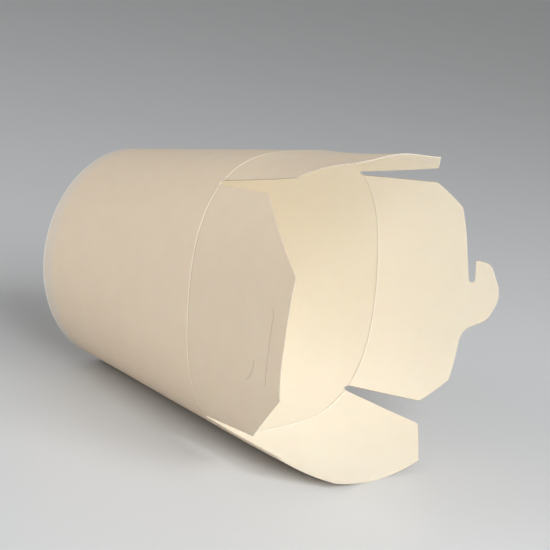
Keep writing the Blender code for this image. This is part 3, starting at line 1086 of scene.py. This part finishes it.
def stroke(centre: Path, width: float) -> Path:
    """Closed outline of a cut along a centre line.

    Args:
        centre: The centre line.
        width: Width of the cut.

    Returns:
        The outline.
    """
    left = []
    right = []
    for i, point in enumerate(centre):
        ahead = centre[min(i + 1, len(centre) - 1)] - centre[max(i - 1, 0)]
        across = Vector((-ahead.y, ahead.x)).normalized() * width / 2.0
        left.append(point + across)
        right.append(point - across)
    return right + left[::-1]


def inside_path(point: Vector, path: Path) -> bool:
    """Whether a point lies inside a closed path.

    Args:
        point: The point.
        path: The path.

    Returns:
        True where it does.
    """
    inside = False
    previous = path[-1]
    for current in path:
        if (current.y > point.y) != (previous.y > point.y):
            share = (point.y - current.y) / (previous.y - current.y)
            if point.x < current.x + share * (previous.x - current.x):
                inside = not inside
        previous = current
    return inside


def path_distance(point: Vector, path: Path, closed: bool = True) -> float:
    """Shortest distance from a point to a path.

    Args:
        point: The point.
        path: The path.
        closed: Whether its last point joins its first.

    Returns:
        The distance.
    """
    least_square = 1e-18
    best = math.inf
    for first, second in zip(path, path[1:] + path[:1] if closed else path[1:]):
        along = second - first
        share = (point - first).dot(along) / max(along.length_squared, least_square)
        near = first + along * min(1.0, max(0.0, share))
        best = min(best, (point - near).length)
    return best


@dataclass(frozen=True)
class FlapShape(ABC):
    """Die line of a flap, x across it and y out from its score."""

    corner_radius: float = 1.6 * MM

    @abstractmethod
    def outline(self, root: float, start: float) -> Path:
        """Outer cut line.

        Args:
            root: Half the length of the flap's score.
            start: Distance of the flap's root from the score's middle.

        Returns:
            The closed outline, counterclockwise.
        """

    def cuts(self) -> list[Path]:
        """Centre lines of the cuts within the flap."""
        return []


@dataclass(frozen=True)
class DustShape(FlapShape):
    """Straight sides, chamfered corners and a straight end."""

    side: float = 37.4 * MM
    side_half_width: float = 42.9 * MM
    length: float = 51.3 * MM
    end_half_width: float = 25.7 * MM
    end_offset: float = 0.0
    end_skew: float = 0.0

    def outline(self, root: float, start: float) -> Path:
        """Outer cut line of a plain chamfered flap.

        Args:
            root: Half the length of the flap's score.
            start: Distance of the flap's root from the score's middle.

        Returns:
            The closed outline, counterclockwise.
        """
        corner = self.corner_radius
        left = self.end_offset - self.end_half_width
        right = self.end_offset + self.end_half_width
        skew = math.tan(self.end_skew)
        return rounded([(-root, start, 0.0), (root, start, 0.0),
                        (self.side_half_width, self.side, corner),
                        (right, self.length - right * skew, corner),
                        (left, self.length - left * skew, corner),
                        (-self.side_half_width, self.side, corner)])


@dataclass(frozen=True)
class SlottedShape(DustShape):
    """Chamfered flap with the lock slit and a short curved relief cut."""

    side: float = 27.6 * MM
    side_half_width: float = 48.2 * MM
    length: float = 58.0 * MM
    end_half_width: float = 22.2 * MM
    end_offset: float = 1.0 * MM
    end_skew: float = math.radians(6.7)
    slit_from_end: float = 8.2 * MM
    slit_length: float = 27.4 * MM
    slit_offset: float = 5.6 * MM
    slit_nick: float = 1.3 * MM
    nick_dip_share: float = 0.2
    nick_flare_share: float = 0.6
    relief_inset: float = 8.0 * MM
    relief_drop: float = 8.9 * MM
    relief_radius: float = 10.0 * MM
    relief_start: float = math.radians(2.0)
    relief_sweep: float = math.radians(58.0)
    relief_steps: int = 8

    def cuts(self) -> list[Path]:
        """Centre lines of the lock slit and the relief cut.

        Returns:
            The slit, with its ends bent down, and the relief cut.
        """
        y = self.length - self.slit_from_end
        half = self.slit_length / 2.0
        nick = self.slit_nick
        skew = math.tan(self.end_skew)
        right_end = [(half - nick, y), (half, y - self.nick_dip_share * nick),
                     (half + self.nick_flare_share * nick, y - nick)]
        left_end = [(-x, height) for x, height in reversed(right_end)]
        placed = [(self.slit_offset + x, height) for x, height in left_end + right_end]
        slit = [Vector((x, height - x * skew)) for x, height in placed]
        radius = self.relief_radius
        middle_x = self.slit_offset + half - self.relief_inset
        middle_y = y - self.relief_drop
        turns = [self.relief_start + self.relief_sweep * i / self.relief_steps
                 for i in range(self.relief_steps + 1)]
        relief = [Vector((middle_x + radius * math.sin(t),
                          middle_y - radius * (1.0 - math.cos(t)))) for t in turns]
        return [slit, relief]


@dataclass(frozen=True)
class TongueShape(FlapShape):
    """Shouldered flap whose end carries a rounded tongue, hooked on one side."""

    arc_step: float = math.radians(6.0)
    side: float = 31.0 * MM
    side_half_width: float = 45.8 * MM
    shoulder: float = 39.4 * MM
    shoulder_half_width: float = 35.4 * MM
    slot_mouth: Corner = millimetres(16.2, 40.3, 6.0)
    slot_end: Spot = millimetres(5.3, 41.5)
    slot_width: float = 2.9 * MM
    slot_round_share: float = 0.47
    hook_tip: Corner = millimetres(14.7, 44.3, 1.1)
    hook_shoulder: Corner = millimetres(14.0, 50.9, 4.4)
    peak: Corner = millimetres(1.3, 56.1, 12.0)
    plain_shoulder: Corner = millimetres(-9.4, 51.1, 10.0)
    neck: Corner = millimetres(-15.3, 40.2, 8.5)

    def outline(self, root: float, start: float) -> Path:
        """Outer cut line of the tongue flap.

        Args:
            root: Half the length of the flap's score.
            start: Distance of the flap's root from the score's middle.

        Returns:
            The closed outline, counterclockwise.
        """
        corner = self.corner_radius
        slot_x, slot_y = self.slot_end
        round_end = self.slot_width * self.slot_round_share
        return rounded([(-root, start, 0.0), (root, start, 0.0),
                        (self.side_half_width, self.side, corner),
                        (self.shoulder_half_width, self.shoulder, corner),
                        self.slot_mouth,
                        (slot_x, slot_y, round_end),
                        (slot_x, slot_y + self.slot_width, round_end),
                        self.hook_tip, self.hook_shoulder, self.peak,
                        self.plain_shoulder, self.neck,
                        (-self.shoulder_half_width, self.shoulder, corner),
                        (-self.side_half_width, self.side, corner)], self.arc_step)


@dataclass(frozen=True)
class Spring:
    """How a flap stands beyond its score."""

    lean: float
    crown: float
    hollow: float = 0.0
    fold: float = 0.0
    fold_waves: float = 8.0
    length: float = 50.0 * MM

    def radius(self, form: TubForm, angle: float, beside: float, rise: float) -> float:
        """Outer radius of the sprung flap.

        Args:
            form: The tub's form.
            angle: Angle round the tub's axis.
            beside: The same angle, measured from the flap's middle.
            rise: Height above the score.

        Returns:
            The radius there.
        """
        share = rise / self.length
        radius = form.mean_radius + rise * (math.tan(form.lean) + math.tan(self.lean))
        radius += form.mouth_squareness * (1.0 + self.crown * share) * form.squareness(angle)
        radius += self.hollow * share * (share - 1.0)
        return radius + self.fold * share * math.cos(self.fold_waves * beside)


@dataclass
class Flap:
    """One die-cut flap, bent round the mouth and sprung beyond its score."""

    name: str
    node: str
    body: str
    centre: float
    half_span: float
    spring: Spring
    shape: FlapShape
    form: TubForm
    hair: float = 0.0001 * MM
    cut_width: float = 0.06 * MM
    lip: float = 0.09 * MM
    lip_reach: float = 1.4 * MM
    lip_limit: float = 5.6 * MM
    lip_down_share: float = 0.45
    fold_reach: float = 16.0 * MM
    grid: float = 1.7 * MM
    score_rows: tuple[float, ...] = millimetres(0.12, 0.24, 0.38, 0.56, 0.8, 1.15)
    row_gap_share: float = 0.45
    row_grid_share: float = 0.7
    outline_step: float = 1.1 * MM
    cut_step: float = 0.6 * MM
    ring_gaps: tuple[float, ...] = millimetres(0.45, 1.0)
    ring_step: float = 0.8 * MM
    score_room: float = 0.12 * MM
    score_room_share: float = 0.9
    outline_room: float = 0.3 * MM
    cut_room: float = 0.25 * MM

    @property
    def root(self) -> float:
        """Half the length of the score between the rounded notch roots."""
        return self.form.mean_radius * self.half_span - self.form.notch_radius

    @property
    def start(self) -> float:
        """Distance of the flap's root from the score's middle."""
        return self.form.score_seam / 2.0

    def lift(self, point: Vector) -> float:
        """How far the board stands proud beside a cut, one lip up and one down.

        Args:
            point: Place across and along the flat flap.

        Returns:
            The distance outwards.
        """
        total = 0.0
        for cut in self.shape.cuts():
            distance = path_distance(point, cut, closed=False)
            if distance < self.lip_limit:
                chord = cut[-1] - cut[0]
                beside = point - cut[0]
                turns_right = chord.x * beside.y - chord.y * beside.x < 0.0
                side = 1.0 if turns_right else -self.lip_down_share
                total += side * self.lip * math.exp(-distance / self.lip_reach)
        return total

    def bend(self, point: Vector, depth: float) -> Vector:
        """Bend a point of the flat flap round the mouth.

        Args:
            point: Place across and along the flat flap.
            depth: Depth below the outer face, up to the board's thickness.

        Returns:
            The point in the tub's own frame.
        """
        form = self.form
        rise = point.y * math.cos(form.lean)
        mean = form.mean_radius + point.y * math.sin(form.lean)
        angle = self.centre + point.x / mean
        from_notch = self.root + form.notch_radius - abs(point.x)
        pressed = form.pressed_share(point.y, from_notch)
        share = depth / form.board
        groove = form.groove_depth * pressed * (1.0 - share)
        bead = form.bead_height * pressed * share
        radius = self.spring.radius(form, angle, point.x / mean, rise)
        radius += form.waviness(angle, form.wall_height + rise) + self.lift(point)
        return form.polar(angle, radius - depth - groove - bead, form.wall_height + rise)

    def inner_points(self, outline: Path, slots: list[Path]) -> Path:
        """Points within the outline that let the sheet bend.

        Args:
            outline: The flap's outer cut line.
            slots: Outlines of the cuts within it.

        Returns:
            The points.
        """
        low = min(p.x for p in outline)
        high = max(p.x for p in outline)
        top = max(p.y for p in outline)
        across = math.ceil((high - low) / self.grid)
        along = math.ceil(top / self.grid)
        first = self.score_rows[-1] + self.row_gap_share * self.grid
        candidates = [Vector((low + (high - low) * (i + 0.5 * (k % 2)) / across,
                              first + (top - first) * k / along))
                      for k in range(along + 1) for i in range(across + 1)]
        count = math.ceil(2.0 * self.root / (self.row_grid_share * self.grid))
        candidates += [Vector((self.root * (2.0 * i / count - 1.0), self.start + row))
                       for row in self.score_rows for i in range(1, count)]
        for cut in self.shape.cuts():
            for gap in self.ring_gaps:
                candidates += subdivided(stroke(cut, 2.0 * gap), self.ring_step)
        below = self.score_room_share * first
        result = []
        for point in candidates:
            room = self.score_room if point.y < below else self.outline_room
            if inside_path(point, outline) and path_distance(point, outline) > room:
                if all(path_distance(point, slot) > self.cut_room
                       and not inside_path(point, slot) for slot in slots):
                    result.append(point)
        return result

    def triangulate(self, merge: float = 1e-9) -> tuple[Path, list[tuple[int, ...]]]:
        """Triangles of the flat flap.

        Args:
            merge: Distance below which two points are one.

        Returns:
            The points and the triangles, counterclockwise.
        """
        outline = subdivided(self.shape.outline(self.root, self.start), self.outline_step)
        slots = [subdivided(stroke(cut, self.cut_width), self.cut_step)
                 for cut in self.shape.cuts()]
        coords = []
        edges = []
        for loop in [outline] + slots:
            first = len(coords)
            count = len(loop)
            edges += [(first + i, first + (i + 1) % count) for i in range(count)]
            coords += loop
        coords += self.inner_points(outline, slots)
        points, _, faces, *_ = geometry.delaunay_2d_cdt(coords, edges, [], 1, merge)
        kept = []
        for face in faces:
            middle = sum((points[i] for i in face), Vector((0.0, 0.0))) / len(face)
            if inside_path(middle, outline) and not any(inside_path(middle, s) for s in slots):
                kept.append(tuple(face))
        return points, kept

    def blank_spot(self, point: Vector) -> Spot:
        """Spot of a point on the blank."""
        form = self.form
        return self.centre * form.mean_radius + point.x, form.wall_height + point.y

    def make_skin(self) -> Skin:
        """Give the flat flap its thickness and its bend.

        Returns:
            The skin, its cut edges a little rounded.
        """
        points, triangles = self.triangulate()
        sides = dict.fromkeys(e for a, b, c in triangles for e in ((a, b), (b, c), (c, a)))
        rim = [(a, b) for a, b in sides if (b, a) not in sides]
        inward: dict[int, Vector] = {}
        for a, b in rim:
            along = (points[b] - points[a]).normalized()
            for i in (a, b):
                inward[i] = inward.get(i, Vector((0.0, 0.0))) + Vector((-along.y, along.x))

        board = self.form.board
        bevel = self.form.cut_bevel
        depths = (0.0, bevel, board - bevel, board)
        skin = Skin(self.name)
        layers: list[dict[int, int]] = [{}, {}, {}, {}]
        for i in sorted({i for face in triangles for i in face}):
            point = points[i]
            drawn = point
            if i in inward and point.y > self.start + self.hair:
                drawn = point + inward[i].normalized() * bevel
            for layer, depth in zip(layers, depths):
                if depth in (0.0, board):
                    layer[i] = skin.point(self.bend(drawn, depth))
                elif i in inward:
                    layer[i] = skin.point(self.bend(point, depth))

        for triangle in triangles:
            spots = [self.blank_spot(points[i]) for i in triangle]
            skin.face([layers[0][i] for i in triangle], BoardFace.OUTSIDE, spots)
            inner_spots = [(x + INSIDE_SHEET, y) for x, y in reversed(spots)]
            skin.face([layers[-1][i] for i in reversed(triangle)], BoardFace.INSIDE, inner_spots)
        for a, b in rim:
            for row in range(3):
                around = ((b, row), (a, row), (a, row + 1), (b, row + 1))
                spots = []
                for i, k in around:
                    x, y = self.blank_spot(points[i])
                    spots.append((x + depths[k], y - depths[k]))
                skin.face([layers[k][i] for i, k in around], BoardFace.CUT, spots)
        return skin

    def build(self, place: TubPlace, finishes: Finishes) -> None:
        """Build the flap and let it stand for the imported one.

        Args:
            place: Where the tub lies.
            finishes: The material of each kind of face.
        """
        obj = self.make_skin().make(place, finishes)
        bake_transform(obj)
        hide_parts(self.node)
        LOG.info("%s: %d faces, on %s", obj.name, len(obj.data.polygons), self.body)


def make_flaps(form: TubForm) -> list[Flap]:
    """The four flaps of the blank, in order round the mouth.

    Args:
        form: The tub's form.

    Returns:
        The flaps, ready to build.
    """
    dust_span = TURN / 8.0 - form.notch_shift
    main_span = TURN / 8.0 + form.notch_shift
    lower_spring = Spring(lean=math.radians(0.7), crown=-0.24, hollow=-1.5 * MM, fold=0.3 * MM)
    tongue_spring = Spring(lean=math.radians(3.0), crown=0.3)
    upper_spring = Spring(lean=math.radians(-1.7), crown=0.71, hollow=2.5 * MM, fold=1.35 * MM)
    slotted_spring = Spring(lean=math.radians(1.4), crown=-0.46, hollow=0.7 * MM, fold=-0.6 * MM)
    return [
        Flap("lower_dust_skin", "flap_dust_lower", "dust_flap_lower",
             centre=math.radians(405.0), half_span=dust_span,
             spring=lower_spring, shape=DustShape(), form=form),
        Flap("tongue_skin", "flap_tongue", "tongue_flap",
             centre=math.radians(135.0), half_span=main_span,
             spring=tongue_spring, shape=TongueShape(), form=form),
        Flap("upper_dust_skin", "flap_dust_upper", "dust_flap_upper",
             centre=math.radians(225.0), half_span=dust_span,
             spring=upper_spring, shape=DustShape(), form=form),
        Flap("slotted_skin", "flap_slotted", "slotted_flap",
             centre=math.radians(315.0), half_span=main_span,
             spring=slotted_spring, shape=SlottedShape(), form=form),
    ]


@dataclass(frozen=True)
class Lamp:
    """One soft white area lamp."""

    name: str
    place: Triple
    size: float
    power: float
    aim: Triple = (0.0, 0.0, 0.05)

    def build(self) -> None:
        """Hang the lamp and aim it."""
        data = bpy.data.lights.new(self.name, "AREA")
        data.shape = "DISK"
        data.size = self.size
        data.energy = self.power
        lamp = add_object(self.name, data)
        lamp.location = self.place
        towards = Vector(self.aim) - Vector(self.place)
        lamp.rotation_mode = "QUATERNION"
        lamp.rotation_quaternion = towards.to_track_quat("-Z", "Y")


@dataclass(frozen=True)
class ViewCamera:
    """Camera at the photograph's viewing angle."""

    place: Triple = (0.43610, -0.49594, 0.22667)
    aim: Triple = (0.00765, 0.00595, 0.05926)
    roll: float = math.radians(-10.19)
    focal_pixels: float = 1708.1
    frame_pixels: float = 550.0
    sensor: float = 36.0

    def build(self) -> None:
        """Make the scene's camera."""
        data = bpy.data.cameras.new("view_camera")
        data.sensor_width = self.sensor
        data.lens = self.sensor * self.focal_pixels / self.frame_pixels
        camera = add_object("view_camera", data)
        forward = (Vector(self.aim) - Vector(self.place)).normalized()
        level = forward.cross(Vector((0.0, 0.0, 1.0))).normalized()
        upright = level.cross(forward)
        up = upright * math.cos(self.roll) + level * math.sin(self.roll)
        right = forward.cross(up)
        turn = Matrix((right, up, -forward)).transposed()
        camera.matrix_world = Matrix.Translation(Vector(self.place)) @ turn.to_4x4()
        bpy.context.scene.camera = camera


@dataclass(frozen=True)
class Studio:
    """Pale floor, soft lamps and even surroundings."""

    floor_reach: float = 9.0
    ambient: float = 0.30
    backdrop: Colour = (0.66, 0.67, 0.68, 1.0)
    lamps: tuple[Lamp, ...] = (
        Lamp("key", (1.13, -0.58, 0.75), size=0.8, power=11.5),
        Lamp("left_fill", (-0.70, -1.15, 0.60), size=0.8, power=5.3),
        Lamp("upper_mouth", (1.00, 0.10, 0.95), size=0.6, power=5.8),
        Lamp("along_axis", (1.45, 0.0, 0.243), size=0.25, power=5.5),
        Lamp("far_mouth", (1.15, 0.48, 0.30), size=0.45, power=4.5),
    )

    def lay_floor(self) -> None:
        """Lay the floor."""
        reach = self.floor_reach
        mesh = bpy.data.meshes.new("floor")
        corners = [(-reach, -reach, 0.0), (reach, -reach, 0.0),
                   (reach, reach, 0.0), (-reach, reach, 0.0)]
        mesh.from_pydata(corners, [], [(0, 1, 2, 3)])
        mesh.materials.append(PaleFloor().make())
        floor = add_object("floor", mesh)

    def set_surroundings(self) -> None:
        """Light evenly from all round, with a paler backdrop for the camera."""
        world = bpy.data.worlds.new("studio")
        world.use_nodes = True
        bpy.context.scene.world = world
        bench = NodeBench(world.node_tree)
        seen = bench.node("ShaderNodeLightPath", {}, {}, "Is Camera Ray")
        even = (self.ambient, self.ambient, self.ambient, 1.0)
        colour = bench.mix_colour(seen, even, self.backdrop)
        shell = bench.node("ShaderNodeBackground", {}, {"Color": colour, "Strength": 1.0})
        bench.node("ShaderNodeOutputWorld", {}, {"Surface": shell})

    def build(self) -> None:
        """Lay the floor, hang the lamps and set the surroundings."""
        self.lay_floor()
        for lamp in self.lamps:
            lamp.build()
        self.set_surroundings()
        LOG.info("studio: floor and %d lamps", len(self.lamps))


def board_finishes(form: TubForm) -> Finishes:
    """The materials of the board's three kinds of face.

    Args:
        form: The tub's form.

    Returns:
        The outside, the inside and the cut edge.
    """
    heights = {"score_height": form.wall_height, "hem_height": form.hem_height}
    # The outside's tone is painted darker and warmer than the inside's, for the shade on the
    # outside and the warm light that shines through the board
    outside = CoatedBoard("board_outside", tone=(0.80, 0.685, 0.53, 1.0),
                          cloudy_tone=(0.765, 0.645, 0.49, 1.0),
                          hem_without_glow_tone=(0.765, 0.67, 0.565, 1.0), crinkle_relief=0.05 * MM,
                          **heights)
    inside = CoatedBoard("board_inside", tone=(0.84, 0.78, 0.67, 1.0),
                         cloudy_tone=(0.82, 0.755, 0.64, 1.0), roughness=0.4,
                         score_highlight_tone=(0.95, 0.92, 0.85, 1.0), score_highlight_share=0.25,
                         score_shift=-0.24 * MM, score_shade_share=0.3, **heights)
    return {BoardFace.OUTSIDE: outside.make(), BoardFace.INSIDE: inside.make(),
            BoardFace.CUT: CutBoard().make()}


def main() -> None:
    """Build and dress every piece, then the studio and the camera."""
    logging.basicConfig(level=logging.INFO, format="%(name)s: %(message)s")
    form = TubForm()
    place = TubPlace(frame["record"], form.disc_height + form.board)
    finishes = board_finishes(form)
    SideWall(form).build(place, finishes)
    BottomDisc(form).build(place, finishes)
    for flap in make_flaps(form):
        flap.build(place, finishes)
    Studio().build()
    ViewCamera().build()
    bpy.context.scene.view_settings.view_transform = "Standard"


if __name__ == "__main__":
    main()
